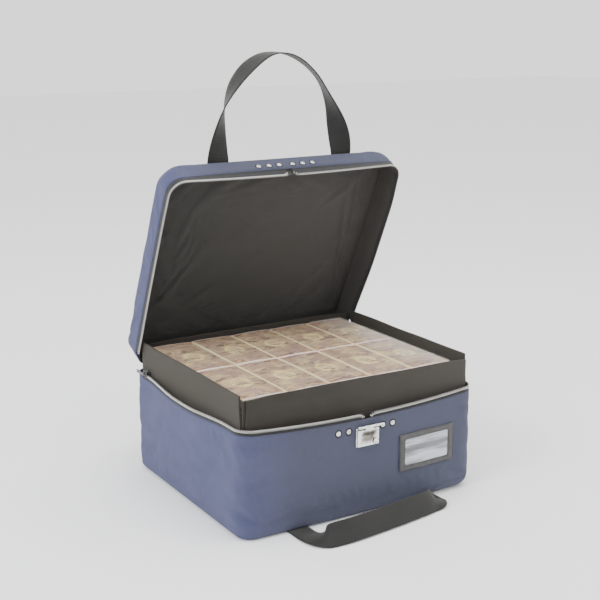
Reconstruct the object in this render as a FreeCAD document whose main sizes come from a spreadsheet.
"""Soft cash deposit bag: a briefcase-like box with a zipped lid, two webbing handles and a banded load.

Frame: millimetres, +Z up, X to the bag's right, -Y towards the front, origin at the centre of the base's
underside. The lid's pieces are drawn closed and then turned open about the back hinge.
"""
import FreeCAD, Part
import math
import os
import Sketcher
from FreeCAD import Placement, Rotation, Vector

SIZES = [
    # outer shell
    ("bag_width", 430, "outer width, left to right"),
    ("bag_depth", 366, "outer depth, front to back"),
    ("wall_top", 166, "top of the body's fabric walls"),
    ("corner_radius", 26, "upright corners, seen from above"),
    ("front_bow", 6, "body's front wall stands out at its middle"),
    ("skin", 2.5, "padded fabric wall"),
    ("base_skin_thickness", 4, "padded base"),
    # zip
    ("zip_plane", 174, "height where the two coils meet"),
    ("coil_clearance", 1, "from the zip plane to each coil"),
    ("coil_height", 4.5, "coil seen from the side"),
    ("coil_thickness", 2.2, "coil through the wall"),
    ("coil_outset", 0.8, "coil stands out past the fabric"),
    ("tape_thickness", 1.2, "woven zip tape"),
    ("zip_front_gap", 7, "half the gap between the coil ends at the front"),
    # back hinge
    ("piping_radius", 1.5, "round cord on the hinge line"),
    ("hinge_outset", 0.5, "hinge line behind the back face"),
    ("back_wall_drop", 1.5, "body's back wall ends below the hinge line"),
    ("lid_back_lift", 2.2, "lid's back wall starts above the hinge line"),
    ("lid_open_angle", 64.5, "degrees that the lid stands open"),
    # lid
    ("lid_tape_top", 185.5, "lid's walls start here when it is closed"),
    ("lid_edge", 216, "lid's panel piece starts here"),
    ("lid_top", 229, "outer face of the closed lid"),
    ("lid_edge_radius", 11, "rounded edge of the lid's panel"),
    ("lid_board_thickness", 2.5, "stiffener under the panel"),
    ("lining", 0.9, "lining cloth"),
    ("lid_lining_inset", 4, "wall lining, in from the outer face"),
    ("lid_lining_foot", 181, "lower edge of the wall lining"),
    ("lid_lining_corner", 19, "tight corners of the wall lining"),
    ("play", 0.1, "gap between layers of one wall"),
    # liner boards
    ("board", 3, "cloth covered liner board"),
    ("board_half_width", 208, "outer face of the side boards"),
    ("board_half_depth", 173, "outer face of the front and back boards"),
    ("board_corner_slit", 6, "open slit at each corner of the liner"),
    ("board_top_front", 217.5, "top of the front board"),
    ("board_top_side", 222, "top of the side boards"),
    ("board_top_back", 219, "top of the back board"),
    # webbing handles
    ("webbing_width", 36, "handle webbing"),
    ("webbing_thickness", 2.2, "handle webbing"),
    ("handle_half_span", 119, "centre of each handle foot"),
    ("tab_length", 80, "sewn end of the webbing"),
    ("tab_thickness", 2, "sewn end of the webbing"),
    ("tab_recess", 2.4, "pocket for the base tabs"),
    ("tab_lift", 0.2, "base tabs stay above the floor"),
    # fasteners
    ("rivet_pitch", 18.9, "between rivets"),
    ("rivet_head_radius", 4.5, "domed head"),
    ("rivet_head_height", 1.8, "domed head"),
    ("rivet_ring_radius", 6, "dark washer under each head"),
    ("rivet_ring_thickness", 0.5, "dark washer under each head"),
    ("rivet_height_body", 142, "row on the body"),
    ("rivet_height_lid", 202, "row on the closed lid"),
    ("backing_length", 118, "steel strip behind a rivet row"),
    ("backing_height", 13, "steel strip behind a rivet row"),
    ("backing_thickness", 0.8, "steel strip behind a rivet row"),
    ("backing_play", 0.6, "between the strip and the bowed wall"),
    # lock
    ("lock_width", 40, "chrome lock"),
    ("lock_bottom", 114, "chrome lock"),
    ("lock_top", 143, "chrome lock"),
    ("lock_plate_thickness", 2, "fixed plate"),
    ("lock_gap", 0.3, "between plate and cover"),
    ("cover_thickness", 4, "hinged cover"),
    ("cover_rim", 1.6, "wall of the hinged cover"),
    ("lock_pin_radius", 1.3, "hinge pin"),
    ("lock_pin_clearance", 0.05, "running fit on the pin"),
    ("knuckle_radius", 2.3, "barrel round the pin"),
    ("lock_pin_height", 146, "height of the pin"),
    ("lock_pin_outset", 2.8, "pin in front of the fixed plate"),
    ("cover_knuckle_half", 8, "half length of the cover's barrel"),
    ("knob_x", 11, "turn knob"),
    ("knob_z", 120, "turn knob"),
    ("knob_radius", 4.4, "turn knob"),
    ("knob_shaft_radius", 1.5, "turn knob"),
    # label holder
    ("label_x", 118, "centre of the label holder"),
    ("label_z", 88, "centre of the label holder"),
    ("label_width", 103, "outer frame"),
    ("label_height", 62, "outer frame"),
    ("window_width", 80, "clear window"),
    ("window_height", 44, "clear window"),
    ("label_back_thickness", 0.8, "vinyl backing"),
    ("label_frame_thickness", 1.2, "vinyl frame"),
    ("label_film_thickness", 0.5, "clear film"),
    # sliders
    ("slider_y", 145, "parked at the back end of the zip"),
    ("slider_length", 14, "zip slider"),
    ("slider_height", 11.4, "zip slider"),
    ("slider_plate", 1.2, "outer and inner plates"),
    ("slider_web", 1.3, "bridge between the two coils"),
    ("slider_gap", 0.3, "running gap to the coils"),
    ("puller_pin_radius", 0.8, "upright pin of the puller"),
    ("puller_pin_outset", 2.2, "pin outside the outer plate"),
    ("puller_eye_radius", 1.9, "eye round the pin"),
    ("puller_length", 26, "pull tab"),
    ("puller_height", 6, "pull tab"),
    ("puller_thickness", 1.2, "pull tab"),
    # load
    ("brick_width", 76, "five columns of bricks, left to right"),
    ("brick_depth", 160, "two rows of bricks, front to back"),
    ("brick_height", 103.5, "one layer"),
    ("brick_gap", 0.6, "between bricks"),
    ("load_shift", -10.4, "load stands left of centre"),
    ("load_bottom", 7.4, "on the base board"),
    ("layer_gap", 0.4, "between the layers"),
    ("film", 0.4, "shrink film round the upper layer"),
]

os.makedirs("parts", exist_ok=True)
doc = FreeCAD.newDocument("cash_deposit_bag")
sheet = doc.addObject("Spreadsheet::Sheet", "Sizes")
for row, (alias, value, note) in enumerate(SIZES, start=1):
    sheet.set(f"A{row}", alias)
    sheet.set(f"B{row}", str(value))
    sheet.set(f"C{row}", note)
    sheet.setAlias(f"B{row}", alias)
doc.recompute()


class Size:
    """A length: its value, and the sheet expression that gives it."""

    def __init__(self, value, text):
        self.value = value
        self.text = text

    def __add__(self, other):
        other = as_size(other)
        return Size(self.value + other.value, f"({self.text} + {other.text})")

    def __sub__(self, other):
        other = as_size(other)
        return Size(self.value - other.value, f"({self.text} - {other.text})")

    def __mul__(self, other):
        other = as_size(other)
        return Size(self.value * other.value, f"({self.text} * {other.text})")

    def __truediv__(self, other):
        other = as_size(other)
        return Size(self.value / other.value, f"({self.text} / {other.text})")

    def __neg__(self):
        return self * -1


def as_size(number):
    if isinstance(number, Size):
        return number
    return Size(number, str(number))


def cell(alias):
    """The spreadsheet's own value as a Size."""
    return Size(float(sheet.get(alias)), f"Sizes.{alias}")


# ---------------------------------------------------------------- sketched pieces

def line(start, end):
    return Part.LineSegment(Vector(start[0].value, start[1].value, 0), Vector(end[0].value, end[1].value, 0))


def arc(start, end, centre):
    """The short arc from start to end about centre, always stored anticlockwise."""
    first = math.atan2(start[1].value - centre[1].value, start[0].value - centre[0].value)
    last = math.atan2(end[1].value - centre[1].value, end[0].value - centre[0].value)
    turn = (last - first) % (2 * math.pi)
    radius = math.hypot(start[0].value - centre[0].value, start[1].value - centre[1].value)
    circle = Part.Circle(Vector(centre[0].value, centre[1].value, 0), Vector(0, 0, 1), radius)
    if turn <= math.pi:
        return Part.ArcOfCircle(circle, first, last), True
    return Part.ArcOfCircle(circle, last, first), False


def draw_loop(sketch, corners):
    """Closed loop of corners (x, y, centre of the arc to the next corner or None), each place bound."""
    count = len(corners)
    ends = []
    for index, (x, y, centre) in enumerate(corners):
        following = corners[(index + 1) % count]
        if centre is None:
            curve = sketch.addGeometry(line((x, y), following), False)
            ends.append((curve, 1, 2))
            continue
        shape, forward = arc((x, y), following, centre)
        curve = sketch.addGeometry(shape, False)
        ends.append((curve, 1, 2) if forward else (curve, 2, 1))
        number = sketch.addConstraint(Sketcher.Constraint("Radius", curve, shape.Radius))
        sketch.setExpression(f"Constraints[{number}]", centre[2].text)
    for index, (x, y, centre) in enumerate(corners):
        curve, first, last = ends[index]
        next_curve, next_first, _ = ends[(index + 1) % count]
        sketch.addConstraint(Sketcher.Constraint("Coincident", curve, last, next_curve, next_first))
        for direction, place in (("DistanceX", x), ("DistanceY", y)):
            number = sketch.addConstraint(Sketcher.Constraint(direction, -1, 1, curve, first, place.value))
            sketch.setExpression(f"Constraints[{number}]", place.text)


def draw_circle(sketch, x, y, radius):
    circle = sketch.addGeometry(Part.Circle(Vector(x.value, y.value, 0), Vector(0, 0, 1), radius.value), False)
    for kind, size in (("Radius", radius), ("DistanceX", x), ("DistanceY", y)):
        if kind == "Radius":
            number = sketch.addConstraint(Sketcher.Constraint(kind, circle, size.value))
        else:
            number = sketch.addConstraint(Sketcher.Constraint(kind, -1, 1, circle, 3, size.value))
        sketch.setExpression(f"Constraints[{number}]", size.text)


def add_sketch(body, name, plane, level):
    """Empty sketch on one of the body's own planes, moved along the plane's normal to level."""
    sketch = body.newObject("Sketcher::SketchObject", name)
    planes = [feature for feature in body.Origin.OriginFeatures if feature.Role == plane]
    sketch.AttachmentSupport = [(planes[0], "")]
    sketch.MapMode = "FlatFace"
    sketch.setExpression(".AttachmentOffset.Base.z", as_size(level).text)
    return sketch


def pad(name, loops, level, height, plane="XY_Plane", circles=()):
    """A body padded from level by height; later loops and the circles are holes in the first loop."""
    body = doc.addObject("PartDesign::Body", name)
    body.Label = name
    sketch = add_sketch(body, name + "_outline", plane, level)
    for loop in loops:
        draw_loop(sketch, loop)
    for x, y, radius in circles:
        draw_circle(sketch, x, y, radius)
    feature = body.newObject("PartDesign::Pad", name + "_pad")
    feature.Profile = sketch
    feature.setExpression("Length", as_size(height).text)
    sketch.Visibility = False
    doc.recompute()
    return body


def pocket(body, name, loop, level, depth, plane="XY_Plane", reverse=False):
    """Cut a loop into the body; the volume must fall, so a cut that misses is an error."""
    before = body.Shape.Volume
    sketch = add_sketch(body, name, plane, level)
    draw_loop(sketch, loop)
    feature = body.newObject("PartDesign::Pocket", name + "_pocket")
    feature.Profile = sketch
    feature.setExpression("Length", as_size(depth).text)
    feature.Reversed = reverse
    sketch.Visibility = False
    doc.recompute()
    if body.Shape.Volume > before - 1:
        raise RuntimeError(f"{name} cuts nothing")


def round_edges(body, name, radius, level):
    """Fillet every edge of the body that lies flat at the height level."""
    edges = []
    for index, edge in enumerate(body.Shape.Edges, start=1):
        box = edge.BoundBox
        if abs(box.ZMin - level.value) < 1e-4 and abs(box.ZMax - level.value) < 1e-4:
            edges.append(f"Edge{index}")
    solid = body.Tip
    fillet = body.newObject("PartDesign::Fillet", name)
    fillet.Base = (solid, edges)
    fillet.setExpression("Radius", radius.text)
    doc.recompute()


def rectangle(left, right, low, high):
    return [(left, low, None), (right, low, None), (right, high, None), (left, high, None)]


def rounded_rectangle(half_x, half_y, radius):
    """Anticlockwise from the left end of the front edge, about the origin."""
    inner_x = half_x - radius
    inner_y = half_y - radius
    return [
        (-inner_x, -half_y, None),
        (inner_x, -half_y, (inner_x, -inner_y, radius)),
        (half_x, -inner_y, None),
        (half_x, inner_y, (inner_x, inner_y, radius)),
        (inner_x, half_y, None),
        (-inner_x, half_y, (-inner_x, inner_y, radius)),
        (-half_x, inner_y, None),
        (-half_x, -inner_y, (-inner_x, -inner_y, radius)),
    ]


half_width = cell("bag_width") / 2
half_depth = cell("bag_depth") / 2
corner = cell("corner_radius")
corner_x = half_width - corner
corner_y = half_depth - corner
skin = cell("skin")
bow = cell("front_bow")
bow_radius = corner_x * corner_x / (bow * 2) + bow / 2
bow_centre_y = bow_radius - half_depth - bow


def bowed_line(inset, bowed):
    """Centre and radius of the bowed face at that inset, or None for a straight one."""
    if not bowed:
        return None
    return (as_size(0), bow_centre_y, bow_radius - inset)


def end_wall(name, facing, inset, thickness, bottom, top, bowed=False):
    """Front (facing -1) or back (facing 1) wall with its two upright corners."""
    outer_x = half_width - inset
    inner_x = outer_x - thickness
    outer_y = (half_depth - inset) * facing
    inner_y = (half_depth - inset - thickness) * facing
    turn_y = corner_y * facing
    outer_radius = corner - inset
    inner_radius = outer_radius - thickness
    loop = [
        (-outer_x, turn_y, (-corner_x, turn_y, outer_radius)),
        (-corner_x, outer_y, bowed_line(inset, bowed)),
        (corner_x, outer_y, (corner_x, turn_y, outer_radius)),
        (outer_x, turn_y, None),
        (inner_x, turn_y, (corner_x, turn_y, inner_radius)),
        (corner_x, inner_y, bowed_line(inset + thickness, bowed)),
        (-corner_x, inner_y, (-corner_x, turn_y, inner_radius)),
        (-inner_x, turn_y, None),
    ]
    return pad(name, [loop], bottom, top - bottom)


def side_wall(name, side, inset, thickness, bottom, top):
    """Straight side wall between the corners; side is -1 on the left and 1 on the right."""
    faces = [(half_width - inset) * side, (half_width - inset - thickness) * side]
    faces.sort(key=lambda face: face.value)
    return pad(name, [rectangle(faces[0], faces[1], -corner_y, corner_y)], bottom, top - bottom)


def half_run(name, side, inset, thickness, bottom, top, bowed=False):
    """Strip along one side and round its front corner to the gap at the front's middle."""
    outer_x = (half_width - inset) * side
    inner_x = (half_width - inset - thickness) * side
    turn_x = corner_x * side
    outer_y = -(half_depth - inset)
    inner_y = -(half_depth - inset - thickness)
    gap_x = cell("zip_front_gap") * side
    back_y = corner_y - cell("slider_gap")
    outer_radius = corner - inset
    inner_radius = outer_radius - thickness
    out = bow if bowed else as_size(0)
    loop = [
        (outer_x, back_y, None),
        (outer_x, -corner_y, (turn_x, -corner_y, outer_radius)),
        (turn_x, outer_y, bowed_line(inset, bowed)),
        (gap_x, outer_y - out, None),
        (gap_x, inner_y - out, bowed_line(inset + thickness, bowed)),
        (turn_x, inner_y, (turn_x, -corner_y, inner_radius)),
        (inner_x, -corner_y, None),
        (inner_x, back_y, None),
    ]
    return pad(name, [loop], bottom, top - bottom)


SIDES = (("left", -1), ("right", 1))
FRONT = "XZ_Plane"

# ---------------------------------------------------------------- the lid's turn

hinge_y = half_depth + cell("hinge_outset")
hinge_z = cell("zip_plane")
hinge_point = Vector(0, hinge_y.value, hinge_z.value)
lid_open = Placement(
    Vector(0, 0, 0),
    Rotation(Vector(-1, 0, 0), cell("lid_open_angle").value),
    hinge_point,
)


def on_lid(piece):
    """Turn a piece that was drawn on the closed lid to where the lid stands open."""
    piece.Placement = lid_open.multiply(piece.Placement)
    return piece


# ---------------------------------------------------------------- body shell

base_top = cell("base_skin_thickness")
wall_top = cell("wall_top")
back_wall_top = hinge_z - cell("back_wall_drop")

base = pad("base_skin", [rounded_rectangle(half_width, half_depth, corner)], as_size(0), base_top)
end_wall("front_wall_skin", -1, as_size(0), skin, base_top, wall_top, True)
end_wall("back_wall_skin", 1, as_size(0), skin, base_top, back_wall_top)
for side_name, side in SIDES:
    side_wall(f"{side_name}_wall_skin", side, as_size(0), skin, base_top, wall_top)

# ---------------------------------------------------------------- liner boards

board = cell("board")
board_x = cell("board_half_width")
board_y = cell("board_half_depth")
slit = cell("board_corner_slit")
pad(
    "front_liner_board",
    [rectangle(-(board_x - slit), board_x - slit, -board_y, -(board_y - board))],
    base_top,
    cell("board_top_front") - base_top,
)
pad(
    "back_liner_board",
    [rectangle(-(board_x - slit), board_x - slit, board_y - board, board_y)],
    base_top,
    cell("board_top_back") - base_top,
)
for side_name, side in SIDES:
    faces = sorted([board_x * side, (board_x - board) * side], key=lambda face: face.value)
    pad(
        f"{side_name}_liner_board",
        [rectangle(faces[0], faces[1], -(board_y - slit), board_y - slit)],
        base_top,
        cell("board_top_side") - base_top,
    )
base_board_x = board_x - board - cell("play")
base_board_y = board_y - board - cell("play")
pad(
    "base_liner_board",
    [rectangle(-base_board_x, base_board_x, -base_board_y, base_board_y)],
    base_top,
    board,
)

# ---------------------------------------------------------------- zip: tapes, coils and hinge piping

coil_top = cell("zip_plane") - cell("coil_clearance")
coil_bottom = coil_top - cell("coil_height")
lid_coil_bottom = cell("zip_plane") + cell("coil_clearance")
lid_coil_top = lid_coil_bottom + cell("coil_height")
tape_inset = cell("coil_thickness") - cell("coil_outset")
for side_name, side in SIDES:
    half_run(f"zip_tape_body_{side_name}", side, tape_inset, cell("tape_thickness"), wall_top, coil_top, True)
    half_run(
        f"zip_coil_body_{side_name}",
        side,
        -cell("coil_outset"),
        cell("coil_thickness"),
        coil_bottom,
        coil_top,
        True,
    )
    on_lid(
        half_run(
            f"zip_tape_lid_{side_name}",
            side,
            tape_inset,
            cell("tape_thickness"),
            lid_coil_bottom,
            cell("lid_tape_top"),
        )
    )
    on_lid(
        half_run(
            f"zip_coil_lid_{side_name}",
            side,
            -cell("coil_outset"),
            cell("coil_thickness"),
            lid_coil_bottom,
            lid_coil_top,
        )
    )

piping_cord = doc.addObject("Part::Cylinder", "piping_cord")
piping_cord.setExpression("Radius", cell("piping_radius").text)
piping_cord.setExpression("Height", (corner_x * 2).text)
piping_cord.Placement.Rotation = Rotation(Vector(0, 1, 0), 90)
piping_cord.setExpression(".Placement.Base.x", (-corner_x).text)
piping_cord.setExpression(".Placement.Base.y", hinge_y.text)
piping_cord.setExpression(".Placement.Base.z", hinge_z.text)
piping_flange = doc.addObject("Part::Box", "piping_flange")
piping_flange.setExpression("Length", (corner_x * 2).text)
piping_flange.setExpression("Width", skin.text)
piping_flange.setExpression("Height", cell("back_wall_drop").text)
piping_flange.setExpression(".Placement.Base.x", (-corner_x).text)
piping_flange.setExpression(".Placement.Base.y", (half_depth - skin).text)
piping_flange.setExpression(".Placement.Base.z", back_wall_top.text)
piping = doc.addObject("Part::Fuse", "back_hinge_piping")
piping.Base = piping_cord
piping.Tool = piping_flange
piping.Label = "back_hinge_piping"

# ---------------------------------------------------------------- lid

lid_edge = cell("lid_edge")
lid_top = cell("lid_top")
lid_tape_top = cell("lid_tape_top")
edge_radius = cell("lid_edge_radius")

panel_outside = pad(
    "lid_panel_outside",
    [rounded_rectangle(half_width, half_depth, corner)],
    lid_edge,
    lid_top - lid_edge,
)
round_edges(panel_outside, "lid_panel_outside_edge", edge_radius, lid_top)
panel_inside = pad(
    "lid_panel_inside",
    [rounded_rectangle(half_width - skin, half_depth - skin, corner - skin)],
    lid_edge,
    lid_top - skin - lid_edge,
)
round_edges(panel_inside, "lid_panel_inside_edge", edge_radius - skin, lid_top - skin)
panel = doc.addObject("Part::Cut", "lid_panel_skin")
panel.Base = panel_outside
panel.Tool = panel_inside
panel.Label = "lid_panel_skin"
doc.recompute()
on_lid(panel)

on_lid(end_wall("lid_front_wall_skin", -1, as_size(0), skin, lid_tape_top, lid_edge))
on_lid(end_wall("lid_back_wall_skin", 1, as_size(0), skin, hinge_z + cell("lid_back_lift"), lid_edge))
for side_name, side in SIDES:
    on_lid(side_wall(f"lid_{side_name}_wall_skin", side, as_size(0), skin, lid_tape_top, lid_edge))

lid_board_top = lid_top - skin - cell("play")
lid_board_bottom = lid_board_top - cell("lid_board_thickness")
lid_lining_top = lid_board_bottom - cell("play")
lid_lining_bottom = lid_lining_top - cell("lining")
lining_outset = cell("lid_lining_inset")
lining_x = half_width - lining_outset
lining_y = half_depth - lining_outset
lining_corner = cell("lid_lining_corner")
on_lid(
    pad(
        "lid_board",
        [rounded_rectangle(half_width - edge_radius, half_depth - edge_radius, corner - edge_radius)],
        lid_board_bottom,
        cell("lid_board_thickness"),
    )
)
on_lid(
    pad(
        "lid_panel_lining",
        [
            rounded_rectangle(
                half_width - edge_radius + skin, half_depth - edge_radius + skin, corner - edge_radius + skin
            )
        ],
        lid_lining_bottom,
        cell("lining"),
    )
)
on_lid(
    pad(
        "lid_wall_lining",
        [
            rounded_rectangle(lining_x, lining_y, lining_corner),
            rounded_rectangle(
                lining_x - cell("lining"), lining_y - cell("lining"), lining_corner - cell("lining")
            ),
        ],
        cell("lid_lining_foot"),
        lid_edge - cell("lid_lining_foot"),
    )
)

# ---------------------------------------------------------------- rivets and their backing strips


front_face = half_depth + bow


def front_discs(name, height, columns, inner, outer, thickness, start):
    """A row of discs or rings on a front face, one solid each, grouped in one piece."""
    discs = []
    for index, column in enumerate(columns, start=1):
        circles = [(column, height, outer)]
        if inner is not None:
            circles.append((column, height, inner))
        disc = pad(f"{name}_{index}", [], start, thickness, FRONT, circles)
        discs.append(disc)
    group = doc.addObject("Part::Compound", name)
    group.Links = discs
    group.Label = name
    doc.recompute()
    return group


def rivet_columns(first):
    """Places along X of the rivets, from the first to the third out on each side."""
    pitch = cell("rivet_pitch")
    places = [pitch * (number - 1 / 3) for number in range(first, 4)]
    return [-place for place in reversed(places)] + places


ring = cell("rivet_ring_thickness")
head_radius = cell("rivet_head_radius")
shank_radius = head_radius / 3
for name, height, first, face in (
    ("body", cell("rivet_height_body"), 2, front_face),
    ("lid", cell("rivet_height_lid"), 1, half_depth),
):
    columns = rivet_columns(first)
    rings = front_discs(
        f"rivet_rings_{name}", height, columns, shank_radius, cell("rivet_ring_radius"), ring, face
    )
    heads = front_discs(
        f"rivets_{name}", height, columns, None, head_radius, cell("rivet_head_height"), face + ring
    )
    strip_half = cell("backing_length") / 2
    strip_low = height - cell("backing_height") / 2
    strip = pad(
        f"rivet_backing_{name}",
        [rectangle(-strip_half, strip_half, strip_low, strip_low + cell("backing_height"))],
        face - skin - cell("backing_play") - cell("backing_thickness"),
        cell("backing_thickness"),
        FRONT,
    )
    if name == "lid":
        for piece in (rings, heads, strip):
            on_lid(piece)

# ---------------------------------------------------------------- lock

lock_half = cell("lock_width") / 2
lock_bottom = cell("lock_bottom")
lock_top = cell("lock_top")
plate_front = front_face + cell("lock_plate_thickness")
cover_back = plate_front + cell("lock_gap")
cover_front = cover_back + cell("cover_thickness")
pin_y = plate_front + cell("lock_pin_outset")
pin_z = cell("lock_pin_height")
pin_radius = cell("lock_pin_radius")
bore_radius = pin_radius + cell("lock_pin_clearance")
knuckle = cell("knuckle_radius")
knuckle_split = cell("cover_knuckle_half")
knuckle_gap = cell("lock_gap")
rim = cell("cover_rim")


def x_cylinder(name, radius, left, right, y, z):
    """Cylinder along X; y is measured forward from the bag's middle."""
    tube = doc.addObject("Part::Cylinder", name)
    tube.Placement.Rotation = Rotation(Vector(0, 1, 0), 90)
    tube.setExpression("Radius", radius.text)
    tube.setExpression("Height", (right - left).text)
    tube.setExpression(".Placement.Base.x", left.text)
    tube.setExpression(".Placement.Base.y", (-y).text)
    tube.setExpression(".Placement.Base.z", z.text)
    return tube


def box(name, left, right, near, far, low, high):
    """Box between faces; near and far are distances in front of the bag's middle."""
    block = doc.addObject("Part::Box", name)
    block.setExpression("Length", (right - left).text)
    block.setExpression("Width", (far - near).text)
    block.setExpression("Height", (high - low).text)
    block.setExpression(".Placement.Base.x", left.text)
    block.setExpression(".Placement.Base.y", (-far).text)
    block.setExpression(".Placement.Base.z", low.text)
    return block


def join(name, pieces):
    fuse = doc.addObject("Part::MultiFuse", name)
    fuse.Shapes = pieces
    fuse.Label = name
    return fuse


def cut(name, base_piece, tool):
    result = doc.addObject("Part::Cut", name)
    result.Base = base_piece
    result.Tool = tool
    result.Label = name
    return result


plate_pieces = [box("lock_plate_flat", -lock_half, lock_half, front_face, plate_front, lock_bottom, pin_z)]
for side_name, side in SIDES:
    near_end = (knuckle_split + knuckle_gap) * side
    far_end = lock_half * side
    ends = sorted([near_end, far_end], key=lambda end: end.value)
    plate_pieces.append(x_cylinder(f"lock_plate_knuckle_{side_name}", knuckle, ends[0], ends[1], pin_y, pin_z))
    web_low = pin_z - knuckle / 2
    plate_pieces.append(
        box(f"lock_plate_web_{side_name}", ends[0], ends[1], plate_front - ring, pin_y, web_low, pin_z)
    )
plate_bore = x_cylinder("lock_plate_bore", bore_radius, -lock_half - ring, lock_half + ring, pin_y, pin_z)
cut("lock_base_plate", join("lock_plate_block", plate_pieces), plate_bore)

cover_slab = pad(
    "lock_cover_slab",
    [rectangle(-lock_half, lock_half, lock_bottom, lock_top)],
    cover_back,
    cell("cover_thickness"),
    FRONT,
)
pocket(
    cover_slab,
    "lock_cover_hollow",
    rectangle(-(lock_half - rim), lock_half - rim, lock_bottom + rim, lock_top - rim),
    cover_back,
    cell("cover_thickness") - rim,
    FRONT,
    True,
)
cover_barrel = x_cylinder("lock_cover_barrel", knuckle, -knuckle_split, knuckle_split, pin_y, pin_z)
cover_web = box(
    "lock_cover_web",
    -knuckle_split,
    knuckle_split,
    cover_back + rim,
    cover_front,
    lock_top - rim,
    pin_z,
)
cover_block = join("lock_cover_block", [cover_slab, cover_barrel, cover_web])
cover_bore = x_cylinder(
    "lock_cover_bore", bore_radius, -knuckle_split - ring, knuckle_split + ring, pin_y, pin_z
)
cover_with_pin_hole = cut("lock_cover_without_knob_hole", cover_block, cover_bore)

knob_x = cell("knob_x")
knob_z = cell("knob_z")
knob_shaft = cell("knob_shaft_radius")
knob_hole = pad(
    "lock_knob_hole",
    [],
    cover_back,
    cell("cover_thickness") + ring,
    FRONT,
    [(knob_x, knob_z, knob_shaft + cell("lock_pin_clearance"))],
)
cut("lock_cover", cover_with_pin_hole, knob_hole)
x_cylinder("lock_hinge_pin", pin_radius, -lock_half, lock_half, pin_y, pin_z).Label = "lock_hinge_pin"

cam_half_width = knob_shaft
cam_half_length = cell("knob_radius")
cam_back = cover_back + knuckle_gap
knob_cap = pad(
    "lock_knob_cap", [], cover_front + knuckle_gap, rim, FRONT, [(knob_x, knob_z, cell("knob_radius"))]
)
knob_stem = pad(
    "lock_knob_stem",
    [],
    cam_back,
    cover_front + knuckle_gap + rim - cam_back,
    FRONT,
    [(knob_x, knob_z, knob_shaft)],
)
knob_bar = box(
    "lock_knob_bar",
    knob_x - knob_shaft / 2,
    knob_x + knob_shaft / 2,
    cover_front + rim,
    cover_front + rim * 2,
    knob_z - cam_half_length,
    knob_z + cam_half_length,
)
knob_cam = box(
    "lock_knob_cam",
    knob_x - cam_half_width,
    knob_x + cam_half_width,
    cam_back,
    cam_back + cell("lock_plate_thickness") / 2,
    knob_z - cam_half_width,
    knob_z + cam_half_length,
)
join("lock_knob", [knob_cap, knob_stem, knob_bar, knob_cam])

# ---------------------------------------------------------------- label holder

label_x = cell("label_x")
label_z = cell("label_z")


def label_rectangle(width, height):
    return rectangle(
        label_x - width / 2, label_x + width / 2, label_z - height / 2, label_z + height / 2
    )


label_outline = label_rectangle(cell("label_width"), cell("label_height"))
window_outline = label_rectangle(cell("window_width"), cell("window_height"))
label_share = label_x / corner_x
label_face = front_face - bow * label_share * label_share
label_back_front = label_face + cell("label_back_thickness")
label_turn = math.degrees(math.asin(label_x.value / bow_radius.value))
label_lie = Placement(
    Vector(0, 0, 0), Rotation(Vector(0, 0, 1), label_turn), Vector(label_x.value, -label_face.value, 0)
)
label_pieces = [
    pad("label_pocket_back", [label_outline], label_face, cell("label_back_thickness"), FRONT),
    pad(
        "label_frame", [label_outline, window_outline], label_back_front, cell("label_frame_thickness"), FRONT
    ),
    pad("label_window_film", [window_outline], label_back_front, cell("label_film_thickness"), FRONT),
]
for piece in label_pieces:
    piece.Placement = label_lie

# ---------------------------------------------------------------- sliders and pullers

slider_y = cell("slider_y")
slider_half = cell("slider_length") / 2
slider_half_height = cell("slider_height") / 2
plate = cell("slider_plate")
gap = cell("slider_gap")
plate_inner_face = half_width + cell("coil_outset") + gap
plate_outer_face = plate_inner_face + plate
inner_plate_face = half_width - tape_inset - cell("tape_thickness") - gap
puller_pin_x = plate_outer_face + cell("puller_pin_outset")
eye_radius = cell("puller_eye_radius")
eye_half = cell("puller_height") / 2


def side_box(name, side, inner, outer, low, high, back, front):
    """Box on one side of the bag; inner and outer are distances from the middle, low and high heights."""
    faces = sorted([inner * side, outer * side], key=lambda face: face.value)
    return box(name, faces[0], faces[1], back, front, low, high)


def z_cylinder(name, radius, x, y, low, high):
    post = doc.addObject("Part::Cylinder", name)
    post.setExpression("Radius", radius.text)
    post.setExpression("Height", (high - low).text)
    post.setExpression(".Placement.Base.x", x.text)
    post.setExpression(".Placement.Base.y", y.text)
    post.setExpression(".Placement.Base.z", low.text)
    return post


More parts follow.
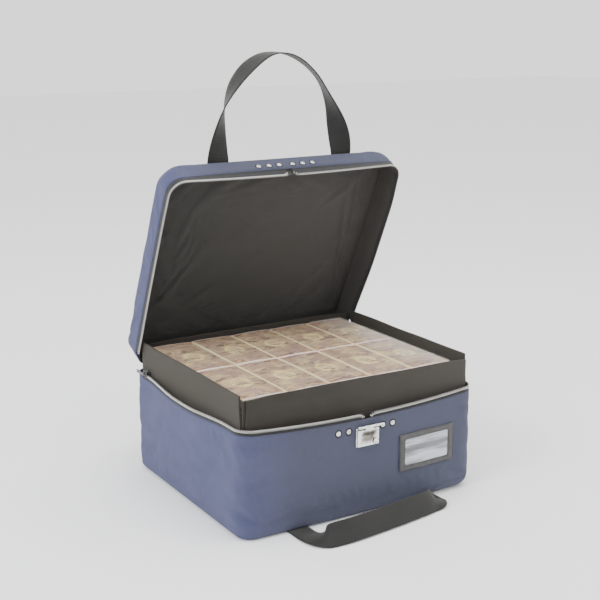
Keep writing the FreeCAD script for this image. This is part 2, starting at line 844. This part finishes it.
for side_name, side in SIDES:
    back = -slider_y - slider_half
    front = -slider_y + slider_half
    low = hinge_z - slider_half_height
    high = hinge_z + slider_half_height
    web_half = cell("slider_web") / 2
    pin_x = puller_pin_x * side
    slider_pieces = [
        side_box(f"slider_outer_{side_name}", side, plate_inner_face, plate_outer_face, low, high, back, front),
        side_box(
            f"slider_inner_{side_name}", side, inner_plate_face - plate, inner_plate_face, low, high, back, front
        ),
        side_box(
            f"slider_web_{side_name}",
            side,
            inner_plate_face - plate,
            plate_outer_face,
            hinge_z - web_half,
            hinge_z + web_half,
            back,
            front,
        ),
        z_cylinder(
            f"slider_pin_{side_name}",
            cell("puller_pin_radius"),
            pin_x,
            slider_y,
            hinge_z - eye_half - plate,
            hinge_z + eye_half + plate,
        ),
    ]
    for ear_name, ear_low in (("lower", hinge_z - eye_half - plate - gap), ("upper", hinge_z + eye_half + gap)):
        slider_pieces.append(
            side_box(
                f"slider_ear_{ear_name}_{side_name}",
                side,
                plate_outer_face,
                puller_pin_x + plate,
                ear_low,
                ear_low + plate,
                -slider_y - plate,
                -slider_y + plate,
            )
        )
    join(f"zip_slider_{side_name}", slider_pieces)

    puller_half = cell("puller_thickness") / 2
    puller_eye = z_cylinder(
        f"puller_eye_{side_name}", eye_radius, pin_x, slider_y, hinge_z - eye_half, hinge_z + eye_half
    )
    puller_tab = side_box(
        f"puller_tab_{side_name}",
        side,
        puller_pin_x - puller_half,
        puller_pin_x + puller_half,
        hinge_z - eye_half,
        hinge_z + eye_half,
        -slider_y - cell("puller_length"),
        -slider_y,
    )
    puller_block = join(f"zip_puller_block_{side_name}", [puller_eye, puller_tab])
    puller_bore = z_cylinder(
        f"puller_bore_{side_name}",
        cell("puller_pin_radius") + cell("lock_pin_clearance"),
        pin_x,
        slider_y,
        hinge_z - eye_half - plate,
        hinge_z + eye_half + plate,
    )
    cut(f"zip_puller_{side_name}", puller_block, puller_bore)

# ---------------------------------------------------------------- webbing handles

webbing_half = cell("webbing_width") / 2
span = cell("handle_half_span")
tab_near = half_depth - cell("tab_length")
tab_top = cell("tab_lift") + cell("tab_thickness")
for side_name, side in SIDES:
    left = span * side - webbing_half
    right = span * side + webbing_half
    recess_play = cell("slider_gap")
    pocket(
        base,
        f"tab_recess_{side_name}",
        rectangle(left - recess_play, right + recess_play, -front_face, -tab_near + recess_play),
        as_size(0),
        cell("tab_recess"),
        reverse=True,
    )
    pad(
        f"base_handle_tab_{side_name}",
        [rectangle(left, right, -front_face, -tab_near)],
        cell("tab_lift"),
        cell("tab_thickness"),
    )
    on_lid(
        pad(
            f"lid_handle_tab_{side_name}",
            [
                rectangle(
                    left, right, -(half_depth - edge_radius), -(half_depth - edge_radius - cell("tab_length"))
                )
            ],
            lid_top,
            cell("tab_thickness"),
        )
    )


def webbing(name, stations):
    """Flat strap through stations (centre, direction across the strap), squared to its own path."""
    half_thick = cell("webbing_thickness").value / 2
    half_wide = webbing_half.value
    sections = []
    for index, (centre, across) in enumerate(stations):
        before = stations[max(index - 1, 0)][0]
        after = stations[min(index + 1, len(stations) - 1)][0]
        along = (after - before).normalize()
        across = across - along * across.dot(along)
        across.normalize()
        normal = along.cross(across)
        corners = [
            centre + across * (half_wide * wide) + normal * (half_thick * thick)
            for wide, thick in ((-1, -1), (1, -1), (1, 1), (-1, 1))
        ]
        sections.append(corners)
    facets = [sections[0][::-1], sections[-1]]
    for near, far in zip(sections, sections[1:]):
        for edge in range(4):
            following = (edge + 1) % 4
            facets.append([near[edge], near[following], far[following]])
            facets.append([near[edge], far[following], far[edge]])
    faces = [Part.Face(Part.makePolygon(facet + facet[:1])) for facet in facets]
    strap = doc.addObject("Part::Feature", name)
    strap.Label = name
    strap.Shape = Part.Solid(Part.Shell(faces))
    return strap


def turned(degrees):
    """Direction across the strap: along +X at 0 degrees, to the back at 90, along -X at 180."""
    angle = math.radians(degrees)
    return Vector(math.cos(angle), math.sin(angle), 0)


# Lid handle, standing upright: (place along X over the half span, height, turn of the strap).
LID_HANDLE = [
    (-1.00, 5, 0),
    (-0.985, 25, 20),
    (-0.955, 52, 45),
    (-0.915, 80, 68),
    (-0.83, 106, 82),
    (-0.68, 131, 90),
    (-0.46, 155, 90),
    (-0.20, 172, 90),
    (0.05, 174, 90),
    (0.30, 163, 90),
    (0.55, 141, 92),
    (0.74, 112, 102),
    (0.87, 80, 122),
    (0.95, 52, 145),
    (0.985, 25, 165),
    (1.00, 5, 180),
]
lid_pivot = lid_open.multVec(
    Vector(0, -(half_depth - edge_radius).value, (lid_top + cell("tab_thickness") / 2).value)
)
lid_handle = webbing(
    "lid_handle_webbing",
    [(Vector(share * span.value, 0, height), turned(turn)) for share, height, turn in LID_HANDLE],
)
lid_handle.Placement = Placement(lid_pivot, Rotation())

# Base handle, lying in front of the bag: (X over the half span, distance in front, height, direction).
BASE_HANDLE = [
    (-1.00, 3, 1.4, Vector(1, 0, 0)),
    (-1.00, 20, 2.0, Vector(1, 0, 0.04)),
    (-0.985, 39, 5.5, Vector(1, 0.05, 0.22)),
    (-0.93, 55, 11.5, Vector(0.75, 0.28, 0.6)),
    (-0.80, 64, 16.5, Vector(0.3, 0.4, 0.87)),
    (-0.60, 66, 18.0, Vector(0.05, 0.42, 0.91)),
    (-0.25, 62, 18.0, Vector(0, 0.42, 0.91)),
    (0.25, 54, 18.0, Vector(0, 0.42, 0.91)),
    (0.62, 47, 18.0, Vector(-0.05, 0.42, 0.91)),
    (0.82, 40, 16.5, Vector(-0.3, 0.4, 0.87)),
    (0.94, 31, 11.5, Vector(-0.75, 0.28, 0.6)),
    (0.99, 20, 5.0, Vector(-1, 0.05, 0.2)),
    (1.00, 11, 2.0, Vector(-1, 0, 0.04)),
    (1.00, 3, 1.4, Vector(-1, 0, 0)),
]
webbing(
    "base_handle_webbing",
    [
        (Vector(share * span.value, -front_face.value - ahead, height), across)
        for share, ahead, height, across in BASE_HANDLE
    ],
)

# ---------------------------------------------------------------- load: two layers of banded bricks

brick_gap = cell("brick_gap")
brick_width = cell("brick_width")
brick_depth = cell("brick_depth")
brick_height = cell("brick_height")
load_left = cell("load_shift") - brick_width * 2.5
upper_bottom = cell("load_bottom") + brick_height + cell("layer_gap")
for layer_name, layer_bottom in (("lower", cell("load_bottom")), ("upper", upper_bottom)):
    bricks = []
    for column in range(5):
        for row in range(2):
            left = load_left + brick_width * column
            front = brick_depth * (1 - row)
            bricks.append(
                box(
                    f"brick_{layer_name}_{column}_{row}",
                    left + brick_gap / 2,
                    left + brick_width - brick_gap / 2,
                    front - brick_depth + brick_gap / 2,
                    front - brick_gap / 2,
                    layer_bottom,
                    layer_bottom + brick_height,
                )
            )
    layer = doc.addObject("Part::Compound", f"banknote_bricks_{layer_name}")
    layer.Links = bricks
    layer.Label = f"banknote_bricks_{layer_name}"

film = cell("film")
film_play = cell("play")
film_right = cell("load_shift") + brick_width * 2.5 + film_play
film_left = load_left - film_play
film_depth = brick_depth + film_play
film_low = upper_bottom + brick_height / 3
film_top = upper_bottom + brick_height + film_play
film_outside = box(
    "film_outside", film_left - film, film_right + film, -film_depth - film, film_depth + film, film_low,
    film_top + film,
)
film_inside = box(
    "film_inside", film_left, film_right, -film_depth, film_depth, film_low - film, film_top
)
cut("shrink_film", film_outside, film_inside)

doc.recompute()

# ---------------------------------------------------------------- check and write

HELPERS = set()
for item in doc.Objects:
    if item.TypeId in ("Part::Cut", "Part::Fuse"):
        HELPERS.update((item.Base.Name, item.Tool.Name))
    elif item.TypeId == "Part::MultiFuse":
        HELPERS.update(piece.Name for piece in item.Shapes)
    elif item.TypeId == "Part::Compound":
        HELPERS.update(piece.Name for piece in item.Links)
    if "Invalid" in item.State or "Error" in item.State:
        raise RuntimeError(f"{item.Label} failed: {item.State}")

PIECE_TYPES = ("PartDesign::Body", "Part::Cut", "Part::Fuse", "Part::MultiFuse", "Part::Compound",
               "Part::Cylinder", "Part::Feature")
pieces = [item for item in doc.Objects if item.TypeId in PIECE_TYPES and item.Name not in HELPERS]
for piece in pieces:
    if piece.Shape.isNull() or not piece.Shape.isValid():
        raise RuntimeError(f"{piece.Label} has no valid shape")
for piece in pieces:
    piece.Shape.exportStep(f"parts/{piece.Label}.step")
print(len(pieces), "pieces")
